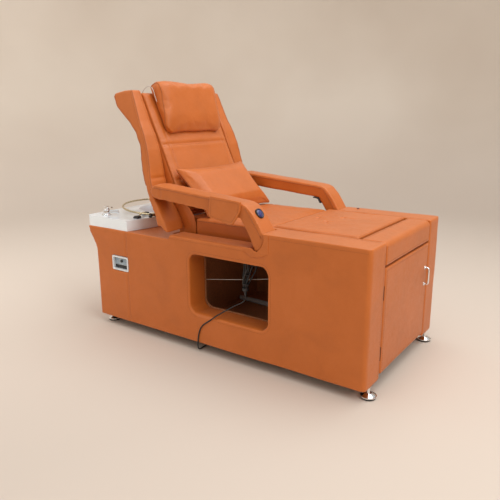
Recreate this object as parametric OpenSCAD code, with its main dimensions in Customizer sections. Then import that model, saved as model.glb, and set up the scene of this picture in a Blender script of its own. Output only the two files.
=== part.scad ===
// Pedicure spa chair: upholstered base with a foot tub, reclining back with
// drop-down arms, and a head-wash basin behind the seat.
// +X points to the foot end, +Y to the far side, +Z up. The floor is z = 0.

/* [Base] */
// Length from the rear edge of the basin to the foot-end face
body_len = 1557; // [1540:1:1580]
// Width over the two side panels
body_w = 780; // [776:1:790]
// Height of the underside of the side panels above the floor
base_z0 = 43; // [40:1:46]
// Height of the padded top of the foot section
foot_top = 600; // [596:1:604]
// Thickness of an upholstered side panel
panel_t = 30; // [24:1:30]
// Radius of the two vertical corners at the foot end
corner_r = 16; // [12:1:50]

/* [Window] */
// Rear edge of the opening in the near side
win_x0 = -95; // [-110:1:-80]
// Length of the opening in the near side
win_len = 422; // [400:1:430]
// Height of the sill above the floor
win_z0 = 184; // [170:1:200]
// Height of the opening
win_h = 278; // [250:1:284]
// Corner radius of the opening
win_r = 40; // [20:1:60]
// Depth of the padded reveal behind the opening
reveal_depth = 110; // [100:1:115]

/* [Back and arms] */
// Lean of the back from upright, at rest
back_lean = 24.5; // [20:0.5:28]
// Length of the padded back along its slope
back_len = 632; // [600:1:640]
// Distance of the arms' inner faces from the centre plane
arm_y0 = 288; // [288:1:292]
// Distance of the arms' outer faces from the centre plane
arm_y1 = 384; // [370:1:386]
// Half the height of an arm pad
arm_h2 = 30; // [26:1:30]

/* [Details] */
// Reach of the door handle in front of the foot-end face
handle_out = 25; // [20:1:35]
// Diameter of a levelling foot
foot_d = 64; // [50:1:64]
// Diameter of the mains lead
cord_d = 6; // [6:0.5:6]
// Radius of the spray ring over the basin, to the middle of its tube
ring_r = 215; // [180:1:218]
// Height of the basin's rim above its underside
rim_h = 52; // [40:1:60]

/* [Hidden] */
$fn = 48;
LEATHER = [0.74, 0.41, 0.20];
STEEL = [0.55, 0.56, 0.58];
CHROME = [0.80, 0.81, 0.83];
BLACK = [0.08, 0.08, 0.09];
WHITE = [0.90, 0.92, 0.93];
BOARD = [0.42, 0.26, 0.15];
big = 2000;

// Main planes
foot_x = (body_len - handle_out) / 2;
rear_x = foot_x - body_len;
half_w = body_w / 2;
in_y = half_w - panel_t;
wall_x = rear_x + 67;
frame_z0 = 46;
deck_z = 511;
rail_z = 531;
rail_z0 = 497;
basin_z = 512;
basin_x1 = rear_x + 306;
step_x = -218;
deck_x1 = -280;
border_x0 = 300;
border_t = 30;
border_y = 252;
post_x = foot_x - 60;
gap = 2;
foot_centres = [[foot_x - 9, -333, 0], [foot_x - 9, 331, 0], [-210, -220, 0], [-210, 220, 0],
    [-690, -333, 0], [-690, 331, 0]];

// Window, in the side plane
win_x1 = win_x0 + win_len;
win_z1 = win_z0 + win_h;
lining = 12;
sill_r = 21;
reveal_y = half_w - reveal_depth;

// Pivots of the back and of the arm parallelogram, in the side plane
back_p = [-213, 600];
post_p = [267, 560];
link_v = [-78, 120];
arm_rear_p = back_p + link_v;
arm_front_p = post_p + link_v;
arm_len = arm_front_p[0] - arm_rear_p[0];
arm_drop = arm_rear_p[1] - arm_front_p[1];
arm_pitch = atan2(arm_drop, arm_len);
arm_l = norm([arm_len, arm_drop]);
post_l = norm(link_v);
post_lean = atan2(-link_v[0], link_v[1]);
post_front = 47;
post_rear = 18;
pocket_r = 49.5;
back_swing_r = 66;
bar_y0 = arm_y0 + 45;
bar_t = 8;
post_bar_y0 = bar_y0 + bar_t + 2;
back_o = [-219, 600];

// Actuator that drives the slotted lever of the back
drive_y = 272;
drive_drop = 125;
drive_z = back_p[1] - drive_drop;
drive_x0 = back_p[0] - drive_drop * tan(22.5);

// Basin and its bowl
bowl_x = -604;
bowl_r = 145;
bowl_z0 = 425;
rim_z = basin_z + rim_h;
ring_c = [-569, -50, 582];
ring_tilt = 3;
ring_open = 60;
ring_hinge = [ring_c[0] + ring_r * cos(ring_open) * cos(ring_tilt),
    ring_c[2] - ring_r * cos(ring_open) * sin(ring_tilt)];
ring_hinge_y = ring_r * sin(ring_open);
tap_c = [-700, -330];

// Hinges at the foot end
door_y0 = -250;
door_y1 = 262;
door_z1 = 504;
door_z0 = 62;
flap_z0 = 506;
flap_x0 = foot_x - 109;
lid_x0 = 250;
lid_x1 = flap_x0 - gap;
hinge_r = 8;
lid_r = 6;
lid_p = [door_y1 - 1 - lid_r, foot_top - lid_r];
door_p = [foot_x - hinge_r, door_y0 + hinge_r];
flap_p = [foot_x - hinge_r, flap_z0 + hinge_r];
door_hinge_z = [150, 400];

// Mains lead: from the gland, over the sill, down the side, under the base, to a coil
cord_r = cord_d / 2;
gland_p = [166, -320, 318];
coil_c = [-30, 470];
coil_mid_r = 36;
coil_half_w = 9;
cord_route = [[166, -320, 296], [166, -320, 284], [160, -322, 270], [146, -330, 258],
    [126, -341, 247], [105, -353, 233], [85, -365, 219], [65, -376, 205],
    [49, -384, 193], [36, -389.5, 182], [23, -392.8, 171], [8, -393.5, 160],
    [-12, -393.5, 145], [-29, -393.5, 127], [-41, -393.5, 104], [-48, -393.5, 76],
    [-52, -393.5, 48], [-54, -392, 29], [-57, -385, 14], [-60, -373, 6],
    [-62, -357, 3.5], [-66, -320, 3.5], [-70, -250, 3.5], [-66, -150, 3.5],
    [-56, -50, 3.5], [-50, 60, 3.5], [-50, 170, 3.5], [-54, 270, 3.5],
    [-62, 350, 3.5], [-70, 410, 3.5], [-71, 440, 3.5], [-70, 458, 3.5]];

// ---- helpers ----

// Extrudes a profile drawn in (x, z) from y0 to y1
module side_extrude(y0, y1) {
    translate([0, y1, 0]) rotate([90, 0, 0]) linear_extrude(y1 - y0) children();
}

// Extrudes a profile drawn in (y, z) from x0 to x1
module end_extrude(x0, x1) {
    translate([x0, 0, 0]) rotate([90, 0, 90]) linear_extrude(x1 - x0) children();
}

// Round bar along Y, at p = [x, z]
module y_bar(p, r, y0, y1) {
    translate([p[0], y1, p[1]]) rotate([90, 0, 0]) cylinder(h = y1 - y0, r = r);
}

// Box between two corners
module box(a, b) {
    translate(a) cube(b - a);
}

// Box and its mirror image across the centre plane
module twin_box(a, b) {
    for (s = [0, 1]) mirror([0, s, 0]) box(a, b);
}

// Draws its children on the near side (s = -1) or on the far side (s = 1)
module on_side(s) {
    mirror([0, s < 0 ? 1 : 0, 0]) children();
}

// Rectangle with round corners, from a to b
module round_rect(a, b, r) {
    translate(a + [r, 0]) square([b[0] - a[0] - 2 * r, b[1] - a[1]]);
    translate(a + [0, r]) square([b[0] - a[0], b[1] - a[1] - 2 * r]);
    for (x = [a[0] + r, b[0] - r], y = [a[1] + r, b[1] - r]) translate([x, y]) circle(r);
}

// Bar with round ends between two points of a plane
module link_2d(a, b, r) {
    d = b - a;
    flat = 0.97 * r;
    translate(a) rotate(atan2(d[1], d[0])) translate([0, -flat]) square([norm(d), 2 * flat]);
    for (p = [a, b]) translate(p) circle(r);
}

// Moves a profile drawn in (across, up the back) onto the sloping back
module back_2d() {
    translate(back_o) rotate(back_lean) children();
}

// Rings of points swept along a path, closed at both ends
function unit(v) = v / norm(v);
function path_dir(p, i) = unit(p[min(i + 1, len(p) - 1)] - p[max(i - 1, 0)]);
function side_dir(t) = unit(cross(t, abs(t[2]) > 0.9 ? [1, 0, 0] : [0, 0, 1]));
function mid_point(p, i, f) = let(
    a = p[max(i - 1, 0)], b = p[i], c = p[i + 1], d = p[min(i + 2, len(p) - 1)])
    0.5 * (2 * b + (c - a) * f + (2 * a - 5 * b + 4 * c - d) * f * f
        + (3 * b - a - 3 * c + d) * f * f * f);
function smooth_path(p, step) = [for (i = [0 : len(p) - 2])
    let(n = max(1, round(norm(p[i + 1] - p[i]) / step)))
        for (k = [0 : n - 1]) mid_point(p, i, k / n), p[len(p) - 1]];

module swept_tube(path, r, sides) {
    n = len(path);
    pts = [for (i = [0 : n - 1])
        let(t = path_dir(path, i), u = side_dir(t), v = cross(t, u))
            for (k = [0 : sides - 1])
                path[i] + r * (u * cos(360 * k / sides) + v * sin(360 * k / sides))];
    skin = [for (i = [0 : n - 2], k = [0 : sides - 1])
        let(a = i * sides + k, b = i * sides + (k + 1) % sides)
            [a, a + sides, b + sides, b]];
    first = [for (k = [0 : sides - 1]) k];
    last = [for (k = [0 : sides - 1]) n * sides - 1 - k];
    polyhedron(pts, concat(skin, [first, last]));
}

// ---- base ----

module base_frame() color(STEEL) {
    y0 = in_y - 35;
    y1 = in_y - 5;
    union() {
        twin_box([-700, y0, 46], [704, y1, 76]);
        for (x = [-700, -225, 340, 674]) box([x, -y0, 46], [x + 30, y0, 76]);
        for (x = [-700, -150, 345]) twin_box([x, y0, 76], [x + 30, y1, 476]);
        twin_box([674, y0, 76], [704, y1, 560]);
        twin_box([-700, y0, 476], [375, y1, 496]);
        twin_box([345, y0, 496], [375, y1, 560]);
        twin_box([375, y0, 530], [674, y1, 560]);
        twin_box([-225, 205, 76], [-195, 235, 480]);
    }
}

module seat_frame() color(STEEL) union() {
    twin_box([-225, 205, 480], [240, 235, 510]);
    box([-225, -205, 480], [-195, 205, 510]);
    box([240, -arm_y0, 480], [270, arm_y0, 510]);
    twin_box([240, arm_y0 - 1, 480], [270, in_y - 35, 496]);
}

module side_outline() difference() {
    polygon([[wall_x, base_z0], [post_x, base_z0], [post_x, foot_top - border_t],
        [border_x0, foot_top - border_t], [border_x0, rail_z0], [deck_x1, rail_z0],
        [deck_x1, deck_z], [basin_x1, deck_z], [basin_x1, basin_z], [rear_x + 15, basin_z],
        [rear_x + 22, 480], [rear_x + 45, 445], [rear_x + 60, 420], [wall_x, 400]]);
    translate(post_p) circle(pocket_r);
}

module window_2d(grow) {
    round_rect([win_x0 - grow, win_z0 - grow], [win_x1 + grow, win_z1 + grow], win_r + grow);
}

// Rounds the outer edge of the sill where the mains lead passes over it
module sill_relief() end_extrude(-60, 60) translate([-half_w, win_z0]) difference() {
    translate([-1, -sill_r]) square(sill_r + 1);
    translate([sill_r, -sill_r]) circle(sill_r);
}

module near_side_panel() color(LEATHER) difference() {
    side_extrude(-half_w, -in_y) difference() {
        side_outline();
        window_2d(lining);
        round_rect([-611, 305], [-496, 380], 8);
    }
    sill_relief();
}

module far_side_panel() color(LEATHER) side_extrude(in_y, half_w) side_outline();

module window_reveal() color(LEATHER) difference() {
    side_extrude(-half_w, -reveal_y) difference() {
        window_2d(lining);
        window_2d(0);
    }
    sill_relief();
}

module near_inner_wall() color(BOARD) side_extrude(-reveal_y, -reveal_y + 10) difference() {
    translate([-190, 85]) square([500, 390]);
    window_2d(0);
}

module far_inner_board() color(BOARD) union() {
    box([-190, reveal_y - 10, 85], [338, reveal_y, 300]);
    box([-190, 12 - reveal_y, 85], [-180, 236, 470]);
    box([-190, 230, 85], [-180, reveal_y - 10, 438]);
}

module floor_board() color(BOARD) box([-190, -in_y + 36, 76], [338, in_y - 36, 84]);

module rear_panel() color(LEATHER) side_extrude(-in_y, in_y)
    polygon([[wall_x, base_z0], [-702, base_z0], [-702, 430], [-730, 470], [-748, basin_z],
        [rear_x + 15, basin_z], [rear_x + 22, 480], [rear_x + 45, 445], [rear_x + 60, 420],
        [wall_x, 400]]);

module front_posts() color(LEATHER) {
    for (s = [-1, 1]) {
        y_in = s < 0 ? border_y : door_y1 + gap;
        on_side(s) translate([0, 0, base_z0]) linear_extrude(foot_top - border_t - base_z0)
            union() {
                translate([post_x, y_in]) square([60, half_w - corner_r - y_in]);
                translate([post_x, y_in]) square([60 - corner_r, half_w - y_in]);
                intersection() {
                    translate([foot_x - corner_r, half_w - corner_r]) circle(corner_r);
                    translate([post_x, y_in]) square([60, half_w - y_in]);
                }
            }
    }
}

module side_rails() color(LEATHER) for (s = [-1, 1]) on_side(s)
    side_extrude(arm_y0 + 3, half_w) difference() {
        polygon([[deck_x1, rail_z0], [border_x0, rail_z0], [border_x0, rail_z],
            [step_x + 8, rail_z], [step_x, deck_z], [deck_x1, deck_z]]);
        translate(post_p) circle(pocket_r);
    }

module foot_borders() color(LEATHER) for (s = [-1, 1]) {
    y_in = s < 0 ? border_y : door_y1 + gap;
    on_side(s) difference() {
        translate([0, 0, foot_top - border_t]) linear_extrude(border_t) union() {
            translate([border_x0, y_in]) square([foot_x - corner_r - border_x0, half_w - y_in]);
            translate([lid_x0, y_in]) square([60, arm_y0 - 9 - y_in]);
            translate([foot_x - corner_r - 1, y_in]) square([corner_r + 1, half_w - corner_r - y_in]);
            translate([foot_x - corner_r, half_w - corner_r]) circle(corner_r);
        }
        y_bar(post_p, pocket_r, arm_y0 - 1, half_w + 1);
    }
}

module rear_deck() color(LEATHER)
    box([basin_x1, -in_y, rail_z0], [deck_x1, in_y, deck_z]);

module seat_cushion() color(LEATHER)
    translate([0, 0, 512]) linear_extrude(84) union() {
        translate([-226, -238]) square([472, 476]);
        translate([-150, -arm_y0 + 9]) square([396, 2 * (arm_y0 - 9)]);
    }

module foot_tub() color(WHITE) difference() {
    union() {
        box([285, -225, 330], [640, 235, 566]);
        box([272, -240, 560], [652, 248, 566]);
    }
    box([290, -220, 335], [635, 230, 570]);
}

module levelling_feet() color(CHROME)
    for (p = foot_centres) translate(p) {
        stem_top = p[0] > post_x ? base_z0 : frame_z0;
        translate([0, 0, 8]) cylinder(h = 4, d = foot_d);
        translate([0, 0, 12]) cylinder(h = 9, d1 = foot_d - 6, d2 = 26);
        translate([0, 0, 20]) cylinder(h = stem_top - 20, d = 12);
    }

module feet_pads() color(BLACK)
    for (p = foot_centres) translate(p) cylinder(h = 8, d = foot_d - 8);

// ---- basin end ----

module basin_outline(inset) {
    y = half_w - 4 - inset;
    x0 = rear_x + inset;
    x1 = basin_x1 - inset;
    r = 30;
    union() {
        polygon([[x0 + r, -y], [x1 - 8, -y], [x1 + 22, -y + 120], [x1 + 38, -150],
            [x1 + 38, 150], [x1 + 22, y - 120], [x1 - 8, y], [x0 + r, y], [x0, y - r],
            [x0, r - y]]);
        for (s = [-1, 1]) translate([x0 + r, s * (y - r)]) circle(r);
    }
}

module bowl_profile(t) {
    polygon([[0, bowl_z0 - t], [0.37 * bowl_r + t, bowl_z0 - t], [0.55 * bowl_r + t, bowl_z0 + 25],
        [0.76 * bowl_r + t, basin_z - 14], [bowl_r - 14 + t, rim_z - 20], [bowl_r + t, rim_z + 1],
        [0, rim_z + 1]]);
}

module wash_basin() color(WHITE) difference() {
    union() {
        translate([0, 0, basin_z]) linear_extrude(rim_h) basin_outline(0);
        intersection() {
            translate([bowl_x, 0, 0]) rotate_extrude($fn = 72) bowl_profile(6);
            box([-big, -big, 0], [basin_x1 - 0.5, big, rim_z]);
        }
    }
    translate([bowl_x, 0, 0]) rotate_extrude($fn = 72) bowl_profile(0);
    translate([bowl_x, 0, 380]) cylinder(h = 60, r = 22);
    translate([basin_x1 + 38, 0, rim_z + 55]) rotate([0, 90, 0])
        cylinder(h = 260, r = 95, center = true);
}

module neck_rest() color(BLACK) translate([basin_x1 + 45, 0, 0]) rotate([90, 0, 0])
    translate([0, 0, -90]) linear_extrude(180) round_rect([-6, deck_z + 1], [26, deck_z + 26], 8);

module tap_body() color(CHROME) translate([tap_c[0], tap_c[1], rim_z]) union() {
    cylinder(h = 30, r = 17);
    translate([0, 0, 30]) cylinder(h = 4, r = 14);
    translate([0, 0, 18]) rotate([0, 90, 35]) cylinder(h = 62, r = 7);
    translate([58 * cos(35), 58 * sin(35), 4]) cylinder(h = 14, r = 5.5);
}

module tap_lever() color(CHROME) translate([tap_c[0], tap_c[1], rim_z + 34.5]) union() {
    cylinder(h = 12, r = 15);
    translate([-5, -5, 5]) cube([46, 10, 6]);
}

module spray_ring() color([0.72, 0.60, 0.34]) union() {
    translate(ring_c) rotate([0, ring_tilt, 0]) rotate([0, 0, ring_open])
        rotate_extrude(angle = 360 - 2 * ring_open, $fn = 96)
            translate([ring_r, 0]) circle(5, $fn = 24);
    for (s = [-1, 1]) translate([0, ring_c[1] + s * ring_hinge_y, 0]) {
        box([ring_hinge[0] - 11, -14, ring_hinge[1] - 7],
            [ring_hinge[0] + 11, 14, ring_hinge[1] + 7]);
        y_bar(ring_hinge, 4, -25, 25);
    }
}

module ring_clips() color(BLACK) for (s = [-1, 1], e = [-1, 1])
    translate([0, ring_c[1] + s * ring_hinge_y + e * 21, 0]) difference() {
        side_extrude(-3, 3) union() {
            translate([ring_hinge[0] - 9, rim_z]) square([18, ring_hinge[1] - rim_z]);
            translate(ring_hinge) circle(9);
        }
        y_bar(ring_hinge, 4.06, -4, 4);
    }

module control_panel() color(WHITE) union() {
    side_extrude(-half_w, -half_w + 16) difference() {
        round_rect([-610, 306], [-497, 379], 7);
        round_rect([-602, 314], [-505, 371], 4);
    }
    side_extrude(-half_w + 16, -half_w + 20) difference() {
        round_rect([-610, 306], [-497, 379], 7);
        translate([-553, 352]) circle(7);
    }
}

module panel_button() color(BLACK) y_bar([-553, 352], 6.7, -half_w + 7, -half_w + 24);

// ---- working parts inside ----

module water_heater() color(WHITE) union() {
    translate([-400, 120, 86]) cylinder(h = 300, r = 95);
    translate([-400, 120, 77]) cylinder(h = 9, r = 60);
    translate([-400, 120, 386]) cylinder(h = 22, r = 14);
}

module pump() color(BLACK) union() {
    translate([420, -60, 120]) rotate([0, 90, 0]) cylinder(h = 120, r = 42);
    translate([405, -60, 120]) rotate([0, 90, 0]) cylinder(h = 15, r = 52);
    translate([400, -60, 172]) cylinder(h = 30, r = 12);
    box([430, -100, 68], [520, -20, 82]);
}

module hoses() color([0.75, 0.76, 0.78]) {
    translate([bowl_x, 0, 300]) cylinder(h = 118.5, r = 30);
    translate([bowl_x, 0, 419]) cylinder(h = 8, r = 21.5);
    translate([460, 20, 220]) cylinder(h = 109.5, r = 22);
    swept_tube(smooth_path([[460, 20, 219], [452, 20, 190], [425, 30, 160], [380, 50, 130],
        [320, 70, 110], [250, 80, 104], [100, 90, 100], [-100, 100, 100], [-174, 105, 100]],
        60), 12, 10);
}

module control_box() color(BLACK) union() {
    box([130, -reveal_y + 12, 416], [210, -215, 476]);
    box([160, -262, 475], [180, -250, 490]);
    box([160, -in_y + 35, 478], [180, -250, 490]);
}

module cable_bundle() color(BLACK) {
    for (i = [0 : 3]) {
        top = [112 + 20 * i, -306 - 8 * (i % 2), win_z1];
        foot = [161 + 6 * i, -325 + 9 * (i % 2), gland_p[2] + 14];
        swept_tube(smooth_path([top, top + [4 - 2 * i, -2, -40],
            (top + foot) / 2 - [12, 0, 6], foot + [-6, 0, 30], foot], 40), 4, 8);
    }
}

module mains_gland() color(BLACK) translate(gland_p) union() {
    translate([0, 0, -22]) cylinder(h = 22, r1 = 5, r2 = 8);
    cylinder(h = 13.5, r = 14);
}

module mains_cord() color(BLACK) swept_tube(smooth_path(cord_route, 26), cord_r, 8);

module cord_coil() color(BLACK) translate([coil_c[0], coil_c[1], 0]) rotate_extrude($fn = 48)
    translate([coil_mid_r - coil_half_w, 0]) square([2 * coil_half_w, 2 * cord_d]);

module mains_plug() color(BLACK) translate([coil_c[0] + 62, coil_c[1] - 10, 0]) union() {
    box([0, 0, 0], [38, 26, 17]);
    translate([38, 13, 8.5]) rotate([0, 90, 0]) cylinder(h = 5, r = 8);
    for (y = [6, 20]) translate([43, y, 8.5]) rotate([0, 90, 0]) cylinder(h = 18, r = 2.2);
    translate([-17, 13, 6]) rotate([0, 90, 0]) cylinder(h = 17, r = 4);
}

module actuator_body() color(STEEL) union() {
    translate([-560, drive_y, drive_z]) rotate([0, 90, 0]) difference() {
        cylinder(h = 256, r = 17);
        translate([0, 0, 20]) cylinder(h = 260, r = 9.5);
    }
    box([-640, drive_y - 26, 420], [-560, drive_y + 26, drive_z + 17]);
    box([-612, drive_y + 26, drive_z + 2], [-588, in_y - 35, drive_z + 14]);
}

module actuator_rod() color(CHROME) union() {
    translate([-440, drive_y, drive_z]) rotate([0, 90, 0])
        cylinder(h = drive_x0 - 10 + 440, r = 9);
    box([drive_x0 - 12, drive_y - 10, drive_z - 12], [drive_x0 + 12, drive_y + 10, drive_z + 12]);
    y_bar([drive_x0, drive_z], 6, drive_y - 25, drive_y);
}

// ---- back ----

module recline_brackets() color(STEEL) for (s = [-1, 1]) on_side(s) union() {
    side_extrude(242, 249) union() {
        translate([-238, 486]) square([50, 108]);
        translate(back_p) circle(20);
    }
    box([-225, 235, 486], [-195, 242, 508]);
    y_bar(back_p, 10, 242, 259);
}

module back_frame() color(STEEL) {
    union() {
        for (s = [-1, 1]) on_side(s) {
            side_extrude(251, 258) difference() {
                union() {
                    link_2d(back_p, arm_rear_p, 16);
                    back_2d() translate([-72, 12]) square([44, back_len - 30]);
                    back_2d() translate([-72, 12]) square([72, 30]);
                    if (s > 0) lever_2d();
                }
                translate(back_p) circle(10.06);
                if (s > 0) lever_slot_2d();
            }
            y_bar(arm_rear_p, 6, 257, bar_y0 + bar_t + 2);
        }
        for (h = [70, 330, back_len - 35])
            side_extrude(-252, 252) back_2d() translate([-61, h]) circle(9);
    }
}

module lever_2d() {
    translate(back_p) rotate(-22.5) translate([-17, -152]) square([34, 152]);
}

module lever_slot_2d() {
    translate(back_p) rotate(-22.5) translate([-8, -146]) square([16, 32]);
}

module centre_pad() color(LEATHER) side_extrude(-240, 240)
    back_2d() polygon([[-40, 14], [-6, 10], [0, 20], [0, back_len - 14], [-12, back_len],
        [-40, back_len]]);

module rear_cover() color(LEATHER) side_extrude(-249, 249)
    back_2d() polygon([[-92, 40], [-77, 22], [-77, back_len], [-92, back_len - 6]]);

module wing_2d() {
    intersection() {
        polygon([[-481, 1174], [-423, 1031], [-391, 970], [-366, 903], [-350, 830],
            [-341, 776], [-329, 735], [-323, 703], [-246, 583], [-222, 520], [-280, 520],
            [-304, 612], [-342, 678], [-369, 742], [-391, 805], [-402, 860], [-414, 923],
            [-448, 985], [-491, 1029], [-544, 1069], [-583, 1105], [-607, 1146],
            [-596, 1162], [-542, 1171]]);
        union() {
            translate(back_p) circle(back_swing_r, $fn = 72);
            polygon([[-1000, 520], [-1000, 1300], [-100, 1300], [-213, 600], [-267, 562]]);
        }
    }
}

module wing() {
    difference() {
        side_extrude(262, 384) wing_2d();
        translate([0, half_w - 6, 600]) rotate([6.75, 0, 0]) box([-big, 0, -200], [big, 200, 900]);
    }
}

module near_wing() color(LEATHER) on_side(-1) wing();

module far_wing() color(LEATHER) on_side(1) wing();

module head_pillow() color(LEATHER) side_extrude(-214, 214) hull() {
    translate([-425, 1190]) circle(28, $fn = 32);
    translate([-470, 1200]) circle(18, $fn = 32);
    translate([-383, 990]) circle(12, $fn = 32);
    translate([-398, 1060]) circle(26, $fn = 32);
}

module lumbar_pillow() color(LEATHER) translate([-183, 0, 709]) rotate([0, -43, 0]) hull() {
    box([-6, -258, -146], [6, 258, 146]);
    box([-34, -190, -80], [34, 190, 80]);
}

// ---- arms ----

module arm_pad() difference() {
    side_extrude(arm_y0, arm_y1) link_2d(arm_rear_p, arm_front_p, arm_h2);
    side_extrude(bar_y0 - 1, bar_y0 + bar_t + 1) link_2d(arm_rear_p, arm_front_p, 17);
    y_bar(arm_rear_p, 10, arm_y0 - 1, bar_y0 + bar_t + 5);
    y_bar(arm_front_p, 18, bar_y0 - 4, post_bar_y0);
    y_bar(arm_front_p, arm_h2 + 1.5, post_bar_y0 - 2, post_bar_y0 + bar_t + 2.5);
}

module arm_frame() difference() {
    side_extrude(bar_y0, bar_y0 + bar_t) link_2d(arm_rear_p, arm_front_p, 16);
    y_bar(arm_rear_p, 8, bar_y0 - 1, bar_y0 + bar_t + 1);
    y_bar(arm_front_p, 6.06, bar_y0 - 1, bar_y0 + bar_t + 1);
}

module post_pad_2d() {
    w1 = post_l;
    translate(post_p) rotate(post_lean) difference() {
        union() {
            translate([-post_rear, 0]) square([post_rear + post_front, w1]);
            intersection() {
                circle(post_front);
                translate([-post_rear, -post_front]) square([post_rear + post_front, post_front]);
            }
            intersection() {
                translate([0, w1]) circle(post_front);
                translate([0, w1]) square([post_front, 17]);
            }
        }
        translate([0, w1]) circle(arm_h2 + 1);
        translate([0, w1]) square([arm_h2 + 4, 20]);
    }
}

module post_pad() difference() {
    side_extrude(arm_y0, arm_y1) post_pad_2d();
    side_extrude(post_bar_y0 - 1, post_bar_y0 + bar_t + 1) link_2d(post_p, arm_front_p, 17);
    y_bar(post_p, 9, arm_y0 - 1, post_bar_y0 + bar_t + 6);
}

module post_frame() union() {
    difference() {
        side_extrude(post_bar_y0, post_bar_y0 + bar_t) link_2d(post_p, arm_front_p, 16);
        y_bar(post_p, 8.06, post_bar_y0 - 1, post_bar_y0 + bar_t + 1);
    }
    y_bar(arm_front_p, 6, bar_y0 - 2, post_bar_y0 + 1);
}

module arm_brackets() color(STEEL) for (s = [-1, 1]) on_side(s) union() {
    side_extrude(arm_y0 - 7, arm_y0 - 1) union() {
        translate([246, 510]) square([36, 50]);
        translate(post_p) circle(16);
    }
    y_bar(post_p, 8, arm_y0 - 2, post_bar_y0 + bar_t + 4);
}

module near_arm_pad() color(LEATHER) on_side(-1) arm_pad();

module far_arm_pad() color(LEATHER) on_side(1) arm_pad();

module near_arm_frame() color(STEEL) on_side(-1) arm_frame();

module far_arm_frame() color(STEEL) on_side(1) arm_frame();

module near_post_pad() color(LEATHER) difference() {
    on_side(-1) post_pad();
    knob_axis() translate([0, 0, -6]) cylinder(h = 30, r = 24.5);
}

module far_post_pad() color(LEATHER) on_side(1) post_pad();

module near_post_frame() color(STEEL) on_side(-1) post_frame();

module far_post_frame() color(STEEL) on_side(1) post_frame();

// Puts its children on the front slope of the near post, with +Z out of the pad
module knob_axis() {
    a = post_l * 0.7;
    p = [post_p[0] - a * sin(post_lean) + post_front * cos(post_lean),
        post_p[1] + a * cos(post_lean) + post_front * sin(post_lean)];
    translate([p[0], -(arm_y0 + arm_y1) / 2, p[1]]) rotate([0, 90 - post_lean, 0]) children();
}

module arm_knob() color([0.10, 0.12, 0.30]) knob_axis() union() {
    translate([0, 0, -5.5]) cylinder(h = 11, r = 24);
    translate([0, 0, 5.5]) cylinder(h = 3, r1 = 24, r2 = 19);
}

module arm_pouch() color(LEATHER) side_extrude(-half_w, -arm_y1)
    polygon([[5, 706], [188, 695], [168, 624], [44, 648], [38, 668]]);

// ---- foot end ----

module tub_lid() color(LEATHER) end_extrude(lid_x0, lid_x1) union() {
    translate([door_y0, foot_top - border_t]) square([lid_p[0] - door_y0, border_t]);
    translate([lid_p[0] - 1, foot_top - border_t]) square([lid_r + 1, border_t - lid_r]);
    translate(lid_p) circle(lid_r);
}

module front_flap() color(LEATHER) side_extrude(door_y0, door_y1) union() {
    r = 24;
    translate([flap_x0, foot_top - 28]) square([foot_x - r - flap_x0, 28]);
    translate([foot_x - r, foot_top - r]) circle(r);
    translate([foot_x - 28, flap_p[1]]) square([28, foot_top - r - flap_p[1]]);
    translate([foot_x - 28, flap_z0]) square([28 - hinge_r, hinge_r]);
    translate(flap_p) circle(hinge_r);
}

module service_door() color(LEATHER) difference() {
    translate([0, 0, door_z0]) linear_extrude(door_z1 - door_z0) union() {
        translate([foot_x - 25, door_y0]) square([25 - hinge_r, door_y1 - door_y0]);
        translate([foot_x - 25, door_y0 + hinge_r]) square([25, door_y1 - door_y0 - hinge_r]);
        translate(door_p) circle(hinge_r);
    }
    for (z = door_hinge_z) {
        box([foot_x - 17, door_y0 - 1, z - 31], [foot_x + 1, door_y0 + 19, z + 31]);
        translate([door_p[0], door_p[1], z - 50]) cylinder(h = 100, r = 3.06);
    }
}

module door_hinges() color(STEEL) for (z = door_hinge_z) union() {
    translate([door_p[0], door_p[1], z - 45]) cylinder(h = 90, r = 3);
    translate([door_p[0], door_p[1], z - 29]) cylinder(h = 58, r = 6);
    box([foot_x - 12, -border_y, z - 29], [foot_x - 6, door_p[1], z + 29]);
}

module door_handle() color(CHROME) {
    y = 222;
    z = [316, 392];
    x1 = foot_x + handle_out - 5;
    union() {
        for (h = z) translate([foot_x, y, h]) rotate([0, 90, 0]) cylinder(h = x1 - foot_x, r = 5);
        for (h = z) translate([x1, y, h]) sphere(5);
        translate([x1, y, z[0]]) cylinder(h = z[1] - z[0], r = 5);
        for (h = z) translate([foot_x, y, h]) rotate([0, 90, 0]) cylinder(h = 3, r = 9);
    }
}

base_frame();
seat_frame();
near_side_panel();
far_side_panel();
window_reveal();
near_inner_wall();
far_inner_board();
floor_board();
rear_panel();
front_posts();
side_rails();
foot_borders();
rear_deck();
seat_cushion();
foot_tub();
hoses();
levelling_feet();
feet_pads();
wash_basin();
tap_body();
control_panel();
water_heater();
pump();
control_box();
cable_bundle();
actuator_body();
recline_brackets();
arm_brackets();
ring_clips();
neck_rest();
door_hinges();
mains_gland();
mains_cord();
cord_coil();
mains_plug();
back_frame();
centre_pad();
near_wing();
far_wing();
rear_cover();
head_pillow();
lumbar_pillow();
near_arm_pad();
near_arm_frame();
near_post_pad();
near_post_frame();
arm_pouch();
far_arm_pad();
far_arm_frame();
far_post_pad();
far_post_frame();
tub_lid();
front_flap();
service_door();
door_handle();
tap_lever();
spray_ring();
arm_knob();
panel_button();
actuator_rod();
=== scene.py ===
import math

import bmesh
import bpy
import numpy as np
from mathutils import Matrix, Vector
from mathutils.bvhtree import BVHTree


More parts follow.
